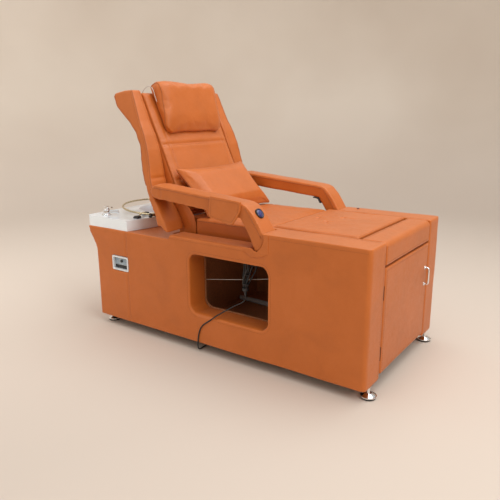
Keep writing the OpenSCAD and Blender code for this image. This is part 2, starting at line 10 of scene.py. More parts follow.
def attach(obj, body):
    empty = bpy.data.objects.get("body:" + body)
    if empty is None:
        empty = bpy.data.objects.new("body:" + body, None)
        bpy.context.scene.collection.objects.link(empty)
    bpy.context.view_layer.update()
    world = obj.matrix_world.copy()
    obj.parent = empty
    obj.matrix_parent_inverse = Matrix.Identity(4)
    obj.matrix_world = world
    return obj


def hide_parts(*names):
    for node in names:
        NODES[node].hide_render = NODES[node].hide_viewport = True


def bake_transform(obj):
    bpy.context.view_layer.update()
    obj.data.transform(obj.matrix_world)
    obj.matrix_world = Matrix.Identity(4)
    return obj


# The pedicure spa chair's visual model. All shapes below are given in millimetres in the CAD frame
# (X towards the foot end, Y towards the far side, Z up) and are turned into metres when they are made.

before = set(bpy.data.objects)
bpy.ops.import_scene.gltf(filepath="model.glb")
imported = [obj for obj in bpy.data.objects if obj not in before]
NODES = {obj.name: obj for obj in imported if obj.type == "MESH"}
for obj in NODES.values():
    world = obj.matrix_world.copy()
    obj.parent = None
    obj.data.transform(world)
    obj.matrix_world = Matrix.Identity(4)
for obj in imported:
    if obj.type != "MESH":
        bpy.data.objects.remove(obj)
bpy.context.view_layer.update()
SCENE = bpy.context.scene
MM = 0.001


# ---------- camera ----------

CAMERA_AT = (1.4771, -2.1297, 1.0676)
CAMERA_YAW, CAMERA_DOWN, CAMERA_ROLL = 125.398, 14.246, -0.242
CAMERA_LENS, CAMERA_SENSOR = 38.9, 36


def make_camera():
    """The camera solved from the photograph: yaw from +X, then the tilt down, then the roll, in degrees."""
    data = bpy.data.cameras.new("camera")
    data.lens = CAMERA_LENS
    data.sensor_width = CAMERA_SENSOR
    cam = bpy.data.objects.new("camera", data)
    SCENE.collection.objects.link(cam)
    cam.location = CAMERA_AT
    yaw, pitch = math.radians(CAMERA_YAW - 90), math.radians(90 - CAMERA_DOWN)
    roll = math.radians(CAMERA_ROLL)
    cam.matrix_world = (Matrix.Translation(cam.location)
                        @ Matrix.Rotation(yaw, 4, "Z") @ Matrix.Rotation(pitch, 4, "X")
                        @ Matrix.Rotation(roll, 4, "Z"))
    SCENE.camera = cam


make_camera()


# ---------- mesh helpers ----------

def add_object(name, mesh):
    ob = bpy.data.objects.new(name, mesh)
    SCENE.collection.objects.link(ob)
    return ob


def mesh_object(name, verts, faces):
    """A smooth-shaded object from points in metres."""
    mesh = bpy.data.meshes.new(name)
    mesh.from_pydata([tuple(v) for v in verts], [], [tuple(f) for f in faces])
    mesh.validate()
    mesh.polygons.foreach_set("use_smooth", [True] * len(mesh.polygons))
    mesh.update()
    return add_object(name, mesh)


def bake_modifiers(ob):
    """The object's evaluated mesh becomes its mesh."""
    graph = bpy.context.evaluated_depsgraph_get()
    mesh = bpy.data.meshes.new_from_object(ob.evaluated_get(graph))
    old = ob.data
    ob.modifiers.clear()
    ob.data = mesh
    bpy.data.meshes.remove(old)
    return ob


def vertex_rows(mesh, what):
    """A vertex property, such as co or normal, as one row of three numbers for each point."""
    rows = np.zeros(len(mesh.vertices) * 3)
    mesh.vertices.foreach_get(what, rows)
    return rows.reshape(-1, 3)


def points_of(ob):
    return vertex_rows(ob.data, "co")


def set_points(ob, co):
    ob.data.vertices.foreach_set("co", np.ascontiguousarray(co).ravel())
    ob.data.update()


def normals_of(ob):
    return vertex_rows(ob.data, "normal")


def prism(poly, lo, hi, plane="xz"):
    """A closed prism over a polygon in millimetres; plane xz runs along y, xy along z."""
    n = len(poly)
    pts = []
    for level in (lo, hi):
        for a, b in poly:
            pts.append((a, level, b) if plane == "xz" else (a, b, level))
    faces = [tuple(range(n)), tuple(range(2 * n - 1, n - 1, -1))]
    faces += [(i, i + n, (i + 1) % n + n, (i + 1) % n) for i in range(n)]
    return [tuple(c * MM for c in p) for p in pts], faces


WELD_DISTANCE = 1e-5
SOLID_OVERLAP = 0.0004


def cad_solids(names):
    """The CAD nodes' surfaces, welded and a little swollen so that neighbours join, as points and faces."""
    out = []
    for n in names:
        bm = bmesh.new()
        bm.from_mesh(NODES[n].data)
        bmesh.ops.remove_doubles(bm, verts=bm.verts, dist=WELD_DISTANCE)
        bm.verts.ensure_lookup_table()
        bm.normal_update()
        out.append(([tuple(v.co + v.normal * SOLID_OVERLAP) for v in bm.verts],
                    [tuple(v.index for v in f.verts) for f in bm.faces]))
        bm.free()
    return out


def skin(name, solids, voxel, rounds):
    """One closed skin around several solids: voxel size in millimetres, then rounds of smoothing."""
    verts, faces = [], []
    for v, f in solids:
        base = len(verts)
        verts += v
        faces += [tuple(base + i for i in face) for face in f]
    ob = mesh_object(name, verts, faces)
    bm = bmesh.new()
    bm.from_mesh(ob.data)
    bmesh.ops.recalc_face_normals(bm, faces=bm.faces)
    bm.to_mesh(ob.data)
    bm.free()
    remesh = ob.modifiers.new("remesh", "REMESH")
    remesh.mode = "VOXEL"
    remesh.voxel_size = voxel * MM
    remesh.use_smooth_shade = True
    smooth = ob.modifiers.new("smooth", "SMOOTH")
    smooth.factor = 0.5
    smooth.iterations = rounds
    return bake_modifiers(ob)


WAVES_PER_OCTAVE, WAVE_SCALE = 6, 3.2


def field(co, size, seed):
    """A smooth field of about -1..1 that varies over that many millimetres, the same each run."""
    rng = np.random.RandomState(seed)
    total = np.zeros(len(co))
    for octave in range(2):
        for _ in range(WAVES_PER_OCTAVE):
            direction = rng.normal(size=3)
            direction /= np.linalg.norm(direction)
            wave = direction * (2 * math.pi / (size * MM)) * (1.9 ** octave)
            total += np.sin(co @ wave + rng.uniform(0, 2 * math.pi)) * (0.5 ** octave) / WAVE_SCALE
    return total


def push(ob, amount):
    """Moves each point along its normal by that many millimetres."""
    set_points(ob, points_of(ob) + normals_of(ob) * (amount * MM)[:, None])
    return ob


def line_distance(co, line):
    """Distance in metres of each point from a polyline in millimetres."""
    best = np.full(len(co), 1e9)
    pts = np.array(line, float) * MM
    for a, b in zip(pts[:-1], pts[1:]):
        d = b - a
        t = np.clip(((co - a) @ d) / max(d @ d, 1e-12), 0, 1)
        best = np.minimum(best, np.linalg.norm(co - (a + t[:, None] * d), axis=1))
    return best


def groove(ob, lines, depth, width, swell=0.0):
    """Presses seams into a skin, with a low swell on both sides."""
    co = points_of(ob)
    amount = np.zeros(len(co))
    for line in lines:
        d = line_distance(co, line) / MM
        amount -= depth * np.exp(-(d / width) ** 2)
        amount += swell * np.exp(-((d - 2.6 * width) / (1.6 * width)) ** 2)
    return push(ob, amount)


def dimples(ob, centres, depth, width):
    """Presses round hollows into a skin, as tufting does."""
    co = points_of(ob)
    amount = np.zeros(len(co))
    for c in centres:
        d = np.linalg.norm(co - np.array(c, float) * MM, axis=1) / MM
        amount -= depth * np.exp(-(d / width) ** 2)
    return push(ob, amount)


def subdivide(ob):
    mod = ob.modifiers.new("subdivide", "SUBSURF")
    mod.levels = mod.render_levels = 1
    bake_modifiers(ob)


CLOTH_FRAMES = 20
CLOTH = {"quality": 5, "mass": 0.3, "tension_stiffness": 12, "compression_stiffness": 12, "shear_stiffness": 6,
         "bending_stiffness": 0.6, "use_pressure": True, "uniform_pressure_force": 4.0}


def inflate(ob, cap):
    """Blows a pad up as cloth from its slightly smaller start; no point moves more than cap millimetres."""
    start = points_of(ob)
    cloth = ob.modifiers.new("cloth", "CLOTH")
    for setting, value in CLOTH.items():
        setattr(cloth.settings, setting, value)
    cloth.settings.effector_weights.gravity = 0
    cloth.collision_settings.use_collision = False
    cloth.point_cache.frame_start = 1
    cloth.point_cache.frame_end = CLOTH_FRAMES
    for f in range(1, CLOTH_FRAMES + 1):
        SCENE.frame_set(f)
    graph = bpy.context.evaluated_depsgraph_get()
    done = bpy.data.meshes.new_from_object(ob.evaluated_get(graph))
    move = vertex_rows(done, "co") - start
    bpy.data.meshes.remove(done)
    ob.modifiers.clear()
    SCENE.frame_set(1)
    length = np.linalg.norm(move, axis=1)
    share = np.where(length > 0, np.tanh(length / (cap * MM)) * cap * MM / np.maximum(length, 1e-9), 0)
    set_points(ob, start + move * share[:, None])


def surface(ob):
    """A search tree over the piece as it is shown."""
    graph = bpy.context.evaluated_depsgraph_get()
    return BVHTree.FromObject(ob, graph)


def dense(line, step, closed=False):
    """Points along a polyline in millimetres, at an even step."""
    pts = [Vector(p) for p in line] + ([Vector(line[0])] if closed else [])
    out = [pts[0].copy()]
    for a, b in zip(pts[:-1], pts[1:]):
        n = max(1, round((b - a).length / step))
        out += [a.lerp(b, (k + 1) / n) for k in range(n)]
    return out


def smooth_line(pts, rounds, closed=False):
    """Averages each point with its neighbours, that many times."""
    for _ in range(rounds):
        new = [p.copy() for p in pts]
        rng = range(len(pts)) if closed else range(1, len(pts) - 1)
        for i in rng:
            new[i] = (pts[i - 1] + pts[i] * 2 + pts[(i + 1) % len(pts)]) / 4
        pts = new
    return pts


def snap(tree, pts, lift):
    """Moves points in millimetres onto a surface, lifted off it, and gives them with its normals."""
    out, ups = [], []
    for p in pts:
        hit, normal, _, _ = tree.find_nearest(p * MM)
        out.append(hit / MM + normal * lift)
        ups.append(normal)
    return out, ups


def quads(first, second, count):
    """Faces between two rings of points that start at these numbers."""
    return [(first + k, first + (k + 1) % count, second + (k + 1) % count, second + k) for k in range(count)]


def tube(name, path, radius, sides, closed=False):
    """A round tube along points in millimetres. radius is a number or one per point."""
    n = len(path)
    radii = radius if hasattr(radius, "__len__") else [radius] * n
    verts, faces = [], []
    up = None
    for i in range(n):
        a = path[i - 1] if (i or closed) else path[0]
        b = path[(i + 1) % n] if (i < n - 1 or closed) else path[-1]
        t = (b - a).normalized()
        if up is None:
            up = t.orthogonal().normalized()
        up = (up - t * up.dot(t)).normalized()
        side = t.cross(up)
        for k in range(sides):
            ang = 2 * math.pi * k / sides
            verts.append((path[i] + (up * math.cos(ang) + side * math.sin(ang)) * radii[i]) * MM)
    for i in range(n if closed else n - 1):
        faces += quads(i * sides, (i + 1) % n * sides, sides)
    if not closed:
        faces.append(tuple(range(sides - 1, -1, -1)))
        faces.append(tuple(range((n - 1) * sides, n * sides)))
    return mesh_object(name, verts, faces)


STITCH_LENGTH, STITCH_RADIUS, STITCH_SIDES = 4.6, 0.65, 6
STITCH_PROFILE = ((-0.5, 0.25), (-0.36, 0.85), (0.0, 1.1), (0.36, 0.85), (0.5, 0.25))


def stitches(name, pts, ups, pitch):
    """A row of thread stitches along points in millimetres, lying on a surface."""
    verts, faces = [], []
    run, want = 0.0, 0.0
    n = STITCH_SIDES
    last = (len(STITCH_PROFILE) - 1) * n
    for a, b, up in zip(pts[:-1], pts[1:], ups[:-1]):
        seg = (b - a).length
        while seg > 1e-6 and want < run + seg:
            d = (b - a).normalized()
            c = a + d * (want - run)
            side = d.cross(up)
            if side.length < 1e-6:
                side = d.orthogonal()
            side.normalize()
            top = side.cross(d)
            base = len(verts)
            for along, thick in STITCH_PROFILE:
                r = STITCH_RADIUS * thick
                for k in range(n):
                    ang = 2 * math.pi * k / n
                    off = side * math.cos(ang) * r + top * math.sin(ang) * r
                    verts.append((c + d * (along * STITCH_LENGTH) + off) * MM)
            for i in range(len(STITCH_PROFILE) - 1):
                faces += quads(base + i * n, base + (i + 1) * n, n)
            faces.append(tuple(base + k for k in range(n - 1, -1, -1)))
            faces.append(tuple(base + last + k for k in range(n)))
            want += pitch
        run += seg
    return mesh_object(name, verts, faces)


def revolve(profile, sides):
    """Points and faces of a profile of (radius, height) points turned about z, in its own unit."""
    verts, faces = [], []
    n = len(profile)
    for k in range(sides):
        a = 2 * math.pi * k / sides
        verts += [(r * math.cos(a), r * math.sin(a), h) for r, h in profile]
        j = (k + 1) % sides
        faces += [(k * n + i, j * n + i, j * n + i + 1, k * n + i + 1) for i in range(n - 1)]
    return verts, faces


def lathe(name, profile, centre, sides):
    """A closed solid of revolution about z through a centre, in millimetres."""
    verts, faces = revolve(profile, sides)
    ob = mesh_object(name, [(Vector(centre) + Vector(v)) * MM for v in verts], faces)
    bm = bmesh.new()
    bm.from_mesh(ob.data)
    bmesh.ops.remove_doubles(bm, verts=bm.verts, dist=1e-7)
    bm.to_mesh(ob.data)
    bm.free()
    return ob


BEVEL_ANGLE = math.radians(35)


def bevelled(ob, width, segments=2):
    """Rounds the sharp edges by that many millimetres."""
    mod = ob.modifiers.new("bevel", "BEVEL")
    mod.width = width * MM
    mod.segments = segments
    mod.limit_method = "ANGLE"
    mod.angle_limit = BEVEL_ANGLE
    mod.harden_normals = False
    return ob


# ---------- materials ----------

def new_material(name):
    """A new node material, with its node tree and its main shader."""
    mat = bpy.data.materials.new(name)
    mat.use_nodes = True
    return mat, mat.node_tree, mat.node_tree.nodes["Principled BSDF"]


def ramp(tree, value, stops):
    """Colours for values from 0 to 1."""
    node = tree.nodes.new("ShaderNodeValToRGB")
    while len(node.color_ramp.elements) < len(stops):
        node.color_ramp.elements.new(0.5)
    for e, (pos, col) in zip(node.color_ramp.elements, stops):
        e.position = pos
        e.color = (*col, 1)
    tree.links.new(value, node.inputs["Fac"])
    return node.outputs["Color"]


def noise(tree, coord, scale, detail=4, roughness=0.55, distortion=0.0):
    node = tree.nodes.new("ShaderNodeTexNoise")
    node.inputs["Scale"].default_value = scale
    node.inputs["Detail"].default_value = detail
    node.inputs["Roughness"].default_value = roughness
    node.inputs["Distortion"].default_value = distortion
    tree.links.new(coord, node.inputs["Vector"])
    return node.outputs["Fac"]


def voronoi(tree, coord, scale, feature="F1"):
    node = tree.nodes.new("ShaderNodeTexVoronoi")
    node.feature = feature
    node.inputs["Scale"].default_value = scale
    tree.links.new(coord, node.inputs["Vector"])
    return node.outputs["Distance"]


def to_range(tree, value, lo, hi, low=0.3, high=0.7):
    """Maps low..high, the usual span of a noise, to lo..hi."""
    node = tree.nodes.new("ShaderNodeMapRange")
    node.inputs["From Min"].default_value = low
    node.inputs["From Max"].default_value = high
    node.inputs["To Min"].default_value = lo
    node.inputs["To Max"].default_value = hi
    tree.links.new(value, node.inputs["Value"])
    return node.outputs["Result"]


def mix(tree, factor, a, b, blend="MIX"):
    node = tree.nodes.new("ShaderNodeMix")
    node.data_type = "RGBA"
    node.blend_type = blend
    for socket, value in ((node.inputs[0], factor), (node.inputs[6], a), (node.inputs[7], b)):
        if isinstance(value, bpy.types.NodeSocket):
            tree.links.new(value, socket)
        elif isinstance(value, (int, float)):
            socket.default_value = value
        else:
            socket.default_value = (*value, 1)
    return node.outputs[2]


def bump_chain(tree, bsdf, layers):
    """Layers of (height, distance in mm, strength) feed one normal."""
    last = None
    for height, distance, strength in layers:
        node = tree.nodes.new("ShaderNodeBump")
        node.inputs["Distance"].default_value = distance * MM
        node.inputs["Strength"].default_value = strength
        tree.links.new(height, node.inputs["Height"])
        if last is not None:
            tree.links.new(last, node.inputs["Normal"])
        last = node.outputs["Normal"]
    tree.links.new(last, bsdf.inputs["Normal"])


def leather(name, base, rough=(0.40, 0.54), wrinkle=0.5):
    """Smooth coated leather: pores, fine creases, soft folds, edges a little lighter from wear, and painted shade
    that darkens the hollows.
    """
    mat, tree, bsdf = new_material(name)
    coord = tree.nodes.new("ShaderNodeTexCoord").outputs["Object"]
    geometry = tree.nodes.new("ShaderNodeNewGeometry")
    cloud = noise(tree, coord, 7.0, 5, 0.6, 0.4)
    fine = noise(tree, coord, 55.0, 6, 0.65, 0.2)
    grain = voronoi(tree, coord, 720.0)
    creases = voronoi(tree, coord, 230.0, "DISTANCE_TO_EDGE")
    folds = noise(tree, coord, 17.0, 7, 0.62, 1.4)
    tone = ramp(tree, cloud, [
        (0.32, [c * 0.93 for c in base]), (0.5, base), (0.68, [min(1, c * 1.04 + 0.003) for c in base])])
    pores = ramp(tree, grain, [(0.0, (1, 1, 1)), (0.62, (0.97, 0.96, 0.95)), (1.0, (0.80, 0.77, 0.74))])
    tone = mix(tree, 0.6, tone, pores, "MULTIPLY")
    # Convex edges a little lighter from wear; hollows and creases darker, which is painted shade.
    edge_wear_and_hollow_shade = ramp(tree, geometry.outputs["Pointiness"], [
        (0.47, (0.86, 0.82, 0.80)), (0.5, (1, 1, 1)), (0.56, (1.10, 1.12, 1.14))])
    tone = mix(tree, 0.75, tone, edge_wear_and_hollow_shade, "MULTIPLY")
    tree.links.new(tone, bsdf.inputs["Base Color"])
    tree.links.new(to_range(tree, fine, *rough), bsdf.inputs["Roughness"])
    bsdf.inputs["IOR"].default_value = 1.46
    bsdf.inputs["Specular IOR Level"].default_value = 0.55
    bsdf.inputs["Sheen Weight"].default_value = 0.10
    bsdf.inputs["Sheen Roughness"].default_value = 0.4
    bump_chain(tree, bsdf, [
        (folds, 1.2, wrinkle * 0.5), (fine, 0.4, 0.3), (creases, 0.25, 0.35), (grain, 0.18, 0.5)])
    return mat


def hard(name, base, rough, metallic=0.0, spread=0.06, scale=60.0, bump=0.05, mottle=0.06,
         coat=0.0, grain=None):
    """Painted, moulded or plated surface with fine variation in tone and gloss, edges a little lighter from wear, and
    painted shade that darkens the hollows.
    """
    mat, tree, bsdf = new_material(name)
    coord = tree.nodes.new("ShaderNodeTexCoord").outputs["Object"]
    geometry = tree.nodes.new("ShaderNodeNewGeometry")
    cloud = noise(tree, coord, scale * 0.2, 4, 0.5)
    fine = noise(tree, coord, scale, 6, 0.6)
    tone = ramp(tree, cloud, [
        (0.3, [c * (1 - mottle) for c in base]), (0.7, [min(1, c * (1 + mottle)) for c in base])])
    # Convex edges a little lighter from wear; hollows darker, which is painted shade.
    edge_wear_and_hollow_shade = ramp(tree, geometry.outputs["Pointiness"], [
        (0.45, (0.8, 0.8, 0.8)), (0.5, (1, 1, 1)), (0.58, (1.15, 1.15, 1.15))])
    tone = mix(tree, 0.6, tone, edge_wear_and_hollow_shade, "MULTIPLY")
    tree.links.new(tone, bsdf.inputs["Base Color"])
    tree.links.new(to_range(tree, fine, rough - spread, rough + spread), bsdf.inputs["Roughness"])
    bsdf.inputs["Metallic"].default_value = metallic
    bsdf.inputs["Specular IOR Level"].default_value = 0.5
    if coat:
        bsdf.inputs["Coat Weight"].default_value = coat
        bsdf.inputs["Coat Roughness"].default_value = 0.08
    layers = [(fine, 0.2, bump)]
    if grain:
        layers.append((voronoi(tree, coord, grain), 0.12, 0.4))
    bump_chain(tree, bsdf, layers)
    return mat


def wood_board(name, base):
    """Bare fibreboard."""
    mat, tree, bsdf = new_material(name)
    coord = tree.nodes.new("ShaderNodeTexCoord").outputs["Object"]
    fibres = noise(tree, coord, 140.0, 8, 0.75, 1.2)
    cloud = noise(tree, coord, 9.0, 4, 0.5)
    tone = ramp(tree, fibres, [
        (0.3, [c * 0.6 for c in base]), (0.55, base), (0.75, [min(1, c * 1.5) for c in base])])
    shade = ramp(tree, cloud, [(0.3, (0.8, 0.78, 0.75)), (0.7, (1, 1, 1))])
    tree.links.new(mix(tree, 0.8, tone, shade, "MULTIPLY"), bsdf.inputs["Base Color"])
    tree.links.new(to_range(tree, fibres, 0.7, 0.9), bsdf.inputs["Roughness"])
    bump_chain(tree, bsdf, [(fibres, 0.6, 0.5)])
    return mat


def ribbed(name, base, axis, pitch, rough=0.5):
    """A material with ribs across an axis, at that pitch in millimetres."""
    mat, tree, bsdf = new_material(name)
    coord = tree.nodes.new("ShaderNodeTexCoord").outputs["Object"]
    wave = tree.nodes.new("ShaderNodeTexWave")
    wave.bands_direction = axis
    wave.inputs["Scale"].default_value = 2 * math.pi / (pitch * MM) / 20
    tree.links.new(coord, wave.inputs["Vector"])
    fine = noise(tree, coord, 80.0, 5, 0.6)
    tone = ramp(tree, fine, [(0.3, [c * 0.85 for c in base]), (0.7, base)])
    tree.links.new(tone, bsdf.inputs["Base Color"])
    tree.links.new(to_range(tree, fine, rough - 0.06, rough + 0.08), bsdf.inputs["Roughness"])
    bump_chain(tree, bsdf, [(wave.outputs["Fac"], 1.2, 0.8), (fine, 0.2, 0.2)])
    return mat


LEATHER_TONE = (0.535, 0.136, 0.017)
LEATHER = leather("leather", LEATHER_TONE)
# A darker copy of the leather for the welts: painted shade along the edges.
SHADED_LEATHER_PIPING = leather("leather_piping_shaded", [c * 0.72 for c in LEATHER_TONE], (0.45, 0.6), 0.2)
THREAD = hard("thread", [c * 0.62 for c in LEATHER_TONE], 0.7, scale=900.0, bump=0.5, mottle=0.2)
STEEL = hard("frame_steel", (0.030, 0.030, 0.032), 0.42, 0.2, scale=240.0, bump=0.25)
CHROME = hard("chrome", (0.78, 0.79, 0.80), 0.13, 1.0, 0.05, 90.0, 0.03, 0.04)
BOARD = wood_board("board", (0.46, 0.185, 0.075))
BASIN = hard("basin_white", (0.80, 0.87, 0.92), 0.16, 0.0, 0.05, 45.0, 0.05, 0.025, coat=0.4)
TUB = hard("tub_white", (0.82, 0.84, 0.85), 0.22, 0.0, 0.06, 45.0, 0.05, 0.03, coat=0.3)
PLASTIC = hard("black_plastic", (0.020, 0.020, 0.022), 0.42, scale=300.0, bump=0.2, grain=1500.0)
CABLE = hard("black_cable", (0.014, 0.014, 0.015), 0.48, scale=400.0, bump=0.2, mottle=0.3)
RUBBER = hard("black_rubber", (0.026, 0.026, 0.026), 0.7, scale=200.0, bump=0.3, mottle=0.2)
HOSE = ribbed("hose_grey", (0.42, 0.44, 0.45), "X", 8.0)
HEATER = hard("heater_white", (0.76, 0.77, 0.76), 0.32, scale=120.0, bump=0.1, mottle=0.05)
PANEL = hard("panel_silver", (0.70, 0.74, 0.78), 0.3, scale=200.0, bump=0.1, coat=0.2)
SCREEN = hard("panel_screen", (0.36, 0.47, 0.56), 0.12, scale=80.0, bump=0.02, mottle=0.25, coat=0.6)
BRASS = hard("brass_ring", (0.56, 0.47, 0.30), 0.28, 0.85, 0.07, 120.0, 0.06, 0.08)
KNOB = hard("knob_blue", (0.020, 0.028, 0.16), 0.16, scale=80.0, bump=0.03, mottle=0.2, coat=0.7)
HINGE = hard("hinge_bronze", (0.16, 0.045, 0.016), 0.4, 0.6, scale=160.0, bump=0.1, mottle=0.2)
RED = hard("cap_red", (0.10, 0.012, 0.010), 0.25, scale=200.0, bump=0.1, mottle=0.2)
ELASTIC = ribbed("elastic_white", (0.72, 0.70, 0.66), "Z", 2.0, 0.8)
KNOB_RIM = hard("knob_rim", (0.016, 0.016, 0.018), 0.25, scale=200.0, bump=0.1)

# Each CAD node that stays in sight: its material and its edge bevel in millimetres.
CAD_FINISH = {
    "base_frame": (STEEL, 1.5), "seat_frame": (STEEL, 1.5), "back_frame": (STEEL, 0.8),
    "near_inner_wall": (BOARD, 1.0), "far_inner_board": (BOARD, 1.0), "floor_board": (BOARD, 1.0),
    "foot_tub": (TUB, 2.0), "hoses": (HOSE, 0), "levelling_feet": (CHROME, 0.8),
    "feet_pads": (RUBBER, 1.0), "wash_basin": (BASIN, 5.0), "control_panel": (PANEL, 1.2),
    "water_heater": (HEATER, 3.0), "pump": (PLASTIC, 1.5), "control_box": (PLASTIC, 2.0),
    "actuator_body": (STEEL, 1.5), "recline_brackets": (STEEL, 0.6), "arm_brackets": (STEEL, 0.6),
    "ring_clips": (PLASTIC, 0.8), "neck_rest": (RUBBER, 2.0), "door_hinges": (HINGE, 0.3),
    "mains_gland": (PLASTIC, 0.8), "mains_plug": (PLASTIC, 2.0),
    "near_arm_frame": (STEEL, 0.5), "near_post_frame": (STEEL, 0.5),
    "far_arm_frame": (STEEL, 0.5), "far_post_frame": (STEEL, 0.5),
    "spray_ring": (BRASS, 0.5), "panel_button": (PLASTIC, 0.6), "actuator_rod": (CHROME, 0.6),
    "tap_body": (CHROME, 0.8), "tap_lever": (CHROME, 0.8), "cable_bundle": (CABLE, 0)}


def finish_cad():
    """Gives each of them its material, and modifiers that leave its own mesh as it is."""
    for node, (mat, width) in CAD_FINISH.items():
        ob = NODES[node]
        ob.data.materials.clear()
        ob.data.materials.append(mat)
        weld = ob.modifiers.new("weld", "WELD")
        weld.merge_threshold = WELD_DISTANCE
        if width:
            bevelled(ob, width)


finish_cad()


def place(ob, body, mat, slot, *nodes):
    """Gives a piece its material and its body, and hides the CAD nodes that it stands for."""
    ob.data.materials.clear()
    ob.data.materials.append(mat)
    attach(ob, body)
    if nodes:
        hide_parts(*nodes)
    return ob


# ---------- mains lead ----------

LEAD_R = 3.0
# The same points as cord_route in the part's source: from the gland over the sill, down the side, along
# the floor, then into the coil.
ROUTE = [
    (166, -320, 296), (166, -320, 284), (160, -322, 270), (146, -330, 258),
    (126, -341, 247), (105, -353, 233), (85, -365, 219), (65, -376, 205),
    (49, -384, 193), (36, -389.5, 182), (23, -392.8, 171), (8, -393.5, 160),
    (-12, -393.5, 145), (-29, -393.5, 127), (-41, -393.5, 104), (-48, -393.5, 76),
    (-52, -393.5, 48), (-54, -392, 29), (-57, -385, 14), (-60, -373, 6),
    (-62, -357, 3.5), (-66, -320, 3.5), (-70, -250, 3.5), (-66, -150, 3.5),
    (-56, -50, 3.5), (-50, 60, 3.5), (-50, 170, 3.5), (-54, 270, 3.5),
    (-62, 350, 3.5), (-70, 410, 3.5), (-72, 440, 3.5)]


def spline(pts, step):
    """Catmull-Rom through the points, at about that step in millimetres."""
    out = []
    for i in range(len(pts) - 1):
        a, b = pts[max(i - 1, 0)], pts[i]
        c, d = pts[i + 1], pts[min(i + 2, len(pts) - 1)]
        n = max(1, round((c - b).length / step))
        for k in range(n):
            f = k / n
            out.append(0.5 * (2 * b + (c - a) * f + (2 * a - 5 * b + 4 * c - d) * f * f
                              + (3 * b - a - 3 * c + d) * f ** 3))
    out.append(pts[-1])
    return out


COIL_CENTRE = Vector((-30, 470, 0))
COIL_TURNS = [(42, 3.2), (36, 3.2), (30, 3.2), (30, 9.4), (36, 9.4), (42, 9.4)]
COIL_STEPS, COIL_COUNT = 40, 5.85
COIL_SHIFT = 0.55


def lead_path():
    """The route, then a neat coil of two layers; each turn shifts to the next in its last part."""
    path = spline([Vector(p) for p in ROUTE], 9.0)
    last = len(COIL_TURNS) - 1
    for k in range(3, int(COIL_STEPS * COIL_COUNT)):
        f = k / COIL_STEPS
        i = min(int(f), last)
        j = min(i + 1, last)
        s = min(1.0, max(0.0, (f - i - COIL_SHIFT) / (1 - COIL_SHIFT)))
        s = s * s * (3 - 2 * s)
        r = COIL_TURNS[i][0] * (1 - s) + COIL_TURNS[j][0] * s
        z = COIL_TURNS[i][1] * (1 - s) + COIL_TURNS[j][1] * s
        a = math.pi - 2 * math.pi * f
        path.append(COIL_CENTRE + Vector((r * math.cos(a), r * math.sin(a), z)))
    return path


LEAD_PATH = lead_path()
lead = tube("mains_lead", LEAD_PATH, LEAD_R, 12)
place(lead, "base", CABLE, "black_cable", "mains_cord", "cord_coil")


# ---------- upholstery ----------

LEAN = math.radians(24.5)
BACK_X, BACK_Z = -219, 600
WING_Y, WING_TAPER = 383, math.tan(math.radians(6.75))
BASE_Y = 391
ARM_Y, ARM_IN_Y, ARM_OUT_Y = 336, 289, 383.3
SIDES = ((-1, "near"), (1, "far"))


def back_point(ahead, up, y):
    """A point of the sloping back: millimetres ahead of its front plane, up along it, and across."""
    return (BACK_X + ahead * math.cos(LEAN) - up * math.sin(LEAN), y,
            BACK_Z + ahead * math.sin(LEAN) + up * math.cos(LEAN))


def back_outline(points):
    """An outline in the xz plane from points ahead of and up along the back."""
    return [back_point(ahead, up, 0)[::2] for ahead, up in points]


def seam_row(name, body, ob, line, closed=False, pitch=7.5):
    """A row of stitches along a line in millimetres, laid on a piece's surface."""
    pts, ups = snap(surface(ob), smooth_line(dense(line, 5.0, closed), 2, closed), 0.2)
    return place(stitches(name, pts, ups, pitch), body, THREAD, "leather")


def piping(name, body, ob, line, radius=2.4, closed=False, rounds=4):
    """A thin leather welt along a line in millimetres, laid on a piece's surface."""
    pts, _ = snap(surface(ob), smooth_line(dense(line, 6.0, closed), rounds, closed), 0.3)
    pts = smooth_line(pts, 2, closed)
    return place(tube(name, pts, radius, 8, closed), body, SHADED_LEATHER_PIPING, "leather")


def plate(name, poly, span, bevel, body, mat, slot):
    """A flat piece over a polygon in the xz plane, with small round edges."""
    ob = mesh_object(name, *prism(poly, *span))
    bevelled(ob, bevel)
    place(ob, body, mat, slot)


def across(side, lo, hi):
    """The span between two distances from the middle, on one side of the chair."""
    return sorted((side * lo, side * hi))


def round_corners(ob, along, radius):
    """Rounds the corners of a pad's face: across is y, along is a direction in the xz plane."""
    co = points_of(ob)
    axis = np.array(along, float)
    b = co @ axis
    mid_b, half_b = (b.max() + b.min()) / 2, (b.max() - b.min()) / 2
    half_a = np.abs(co[:, 1]).max()
    r = radius * MM
    a_in = np.abs(co[:, 1]) - (half_a - r)
    b_in = np.abs(b - mid_b) - (half_b - r)
    length = np.hypot(a_in, b_in)
    corner = (a_in > 0) & (b_in > 0) & (length > r)
    scale = np.where(corner, r / np.maximum(length, 1e-9), 1)
    new_a = np.sign(co[:, 1]) * (half_a - r + a_in * scale)
    new_b = mid_b + np.sign(b - mid_b) * (half_b - r + b_in * scale)
    moved = co.copy()
    moved[:, 1] = np.where(corner, new_a, co[:, 1])
    moved += np.where(corner, new_b - b, 0)[:, None] * axis
    set_points(ob, moved)


